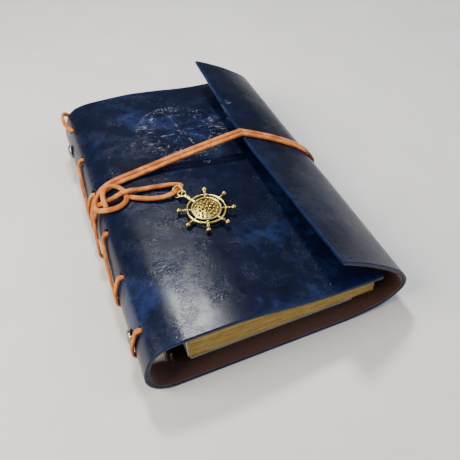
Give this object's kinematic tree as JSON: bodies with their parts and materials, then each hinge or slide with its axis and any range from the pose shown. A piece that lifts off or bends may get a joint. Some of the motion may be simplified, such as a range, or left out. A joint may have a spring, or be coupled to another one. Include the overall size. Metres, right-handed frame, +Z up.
{
  "type": "pilot logbook",
  "caption": "Refillable leather wrap logbook: ring binder on a laced spine, kraft pages, fold-over flap held by a lace closure with a ship's wheel charm.",
  "frame": {"origin": "centre of the closed book's footprint on the surface it lies on, leaving out the laces and the charm", "axes": "+Z up through the front cover, +Y along the spine towards the head edge, +X from the spine towards the fore edge"},
  "size_m": [0.133, 0.1885, 0.0486],
  "materials": {
    "leather": "waxed gloss",
    "lining": "matte",
    "suede_lace": "suede",
    "kraft_paper": "matte",
    "clear_plastic": "clear",
    "steel": "nickel plated",
    "antique_brass": "aged"
  },
  "bodies": {
    "back": {"back_cover": "leather", "back_lining": "lining", "closure_back_a": "suede_lace", "closure_back_b": "suede_lace"},
    "spine": {"spine_cover": "leather", "spine_lining": "lining", "ring_plate": "steel", "rivet_tail": "steel", "rivet_head": "steel", "lace_stitch_1": "suede_lace", "lace_stitch_2": "suede_lace", "lace_diagonal_3": "suede_lace", "lace_stitch_4": "suede_lace", "lace_diagonal_5": "suede_lace", "lace_return_3": "suede_lace", "lace_head_loop": "suede_lace", "closure_spine_a": "suede_lace", "closure_spine_b": "suede_lace"},
    "front": {"front_cover": "leather", "front_lining": "lining", "closure_front_a": "suede_lace", "closure_front_b": "suede_lace", "closure_knot": "suede_lace", "charm_loop": "suede_lace"},
    "flap": {"flap": "leather", "flap_lining": "lining", "closure_flap_a": "suede_lace", "closure_flap_b": "suede_lace"},
    "leaves_lower": {"pages_lower": "kraft_paper", "zip_pocket": "clear_plastic"},
    "leaves_upper": {"pages_upper": "kraft_paper"},
    "zip_slider": {"zip_slider": "steel"},
    "rings_upper": {"ring_blade_upper": "steel", "ring_1_upper": "steel", "ring_2_upper": "steel", "ring_3_upper": "steel", "ring_4_upper": "steel", "ring_5_upper": "steel", "ring_6_upper": "steel"},
    "rings_lower": {"ring_blade_lower": "steel", "ring_1_lower": "steel", "ring_2_lower": "steel", "ring_3_lower": "steel", "ring_4_lower": "steel", "ring_5_lower": "steel", "ring_6_lower": "steel"},
    "lever_tail": {"ring_lever_tail": "steel"},
    "lever_head": {"ring_lever_head": "steel"},
    "jump_ring": {"jump_ring": "antique_brass"},
    "charm": {"charm_wheel": "antique_brass"}
  },
  "joints": [
    {"name": "spine_hinge", "type": "hinge", "parent": "back", "child": "spine", "pos_m": [-0.0613, 0, 0.0063], "axis": [0, -1, 0], "range_deg": [0, 90], "deforming": ["flap", "flap_lining", "closure_flap_a", "closure_flap_b"]},
    {"name": "front_cover_hinge", "type": "hinge", "parent": "spine", "child": "front", "pos_m": [-0.0559, 0, 0.0305], "axis": [0, -1, 0], "range_deg": [0, 92]},
    {"name": "flap_hinge", "type": "hinge", "parent": "back", "child": "flap", "pos_m": [0.0629, 0, 0.0218], "axis": [0, 1, 0], "range_deg": [0, 150]},
    {"name": "lower_leaves_turn", "type": "hinge", "parent": "spine", "child": "leaves_lower", "pos_m": [-0.04645, 0, 0.0165], "axis": [0, -1, 0], "range_deg": [-95, 0]},
    {"name": "upper_leaves_turn", "type": "hinge", "parent": "spine", "child": "leaves_upper", "pos_m": [-0.04645, 0, 0.0165], "axis": [0, -1, 0], "range_deg": [0, 95]},
    {"name": "zip_slide", "type": "slide", "parent": "leaves_lower", "child": "zip_slider", "axis": [0, 1, 0], "range_m": [0, 0.14]},
    {"name": "rings_upper_open", "type": "hinge", "parent": "spine", "child": "rings_upper", "pos_m": [-0.0572, 0, 0.0207], "axis": [0, -1, 0], "range_deg": [0, 6]},
    {"name": "rings_lower_open", "type": "hinge", "parent": "spine", "child": "rings_lower", "pos_m": [-0.0572, 0, 0.0123], "axis": [0, -1, 0], "range_deg": [-6, 0]},
    {"name": "lever_tail_press", "type": "hinge", "parent": "spine", "child": "lever_tail", "pos_m": [-0.05775, -0.0849, 0.0165], "axis": [0, 0, -1], "range_deg": [0, 18]},
    {"name": "lever_head_press", "type": "hinge", "parent": "spine", "child": "lever_head", "pos_m": [-0.05775, 0.0849, 0.0165], "axis": [0, 0, 1], "range_deg": [0, 18]},
    {"name": "jump_ring_swing", "type": "hinge", "parent": "front", "child": "jump_ring", "pos_m": [-0.02006, -0.00944, 0.0359], "axis": [-0.8713, -0.4907, 0], "range_deg": [0, 50]},
    {"name": "charm_swing", "type": "hinge", "parent": "jump_ring", "child": "charm", "pos_m": [-0.018, -0.0131, 0.036], "axis": [0, 0, 1], "range_deg": [-12, 12]}
  ],
  "couplings": [
    {"joint": "lower_leaves_turn", "follows": "spine_hinge", "ratio": -1.03},
    {"joint": "upper_leaves_turn", "follows": "front_cover_hinge", "ratio": 0.96},
    {"joint": "rings_lower_open", "follows": "rings_upper_open", "ratio": -1},
    {"joint": "lever_tail_press", "follows": "rings_upper_open", "ratio": 3},
    {"joint": "lever_head_press", "follows": "rings_upper_open", "ratio": 3}
  ]
}
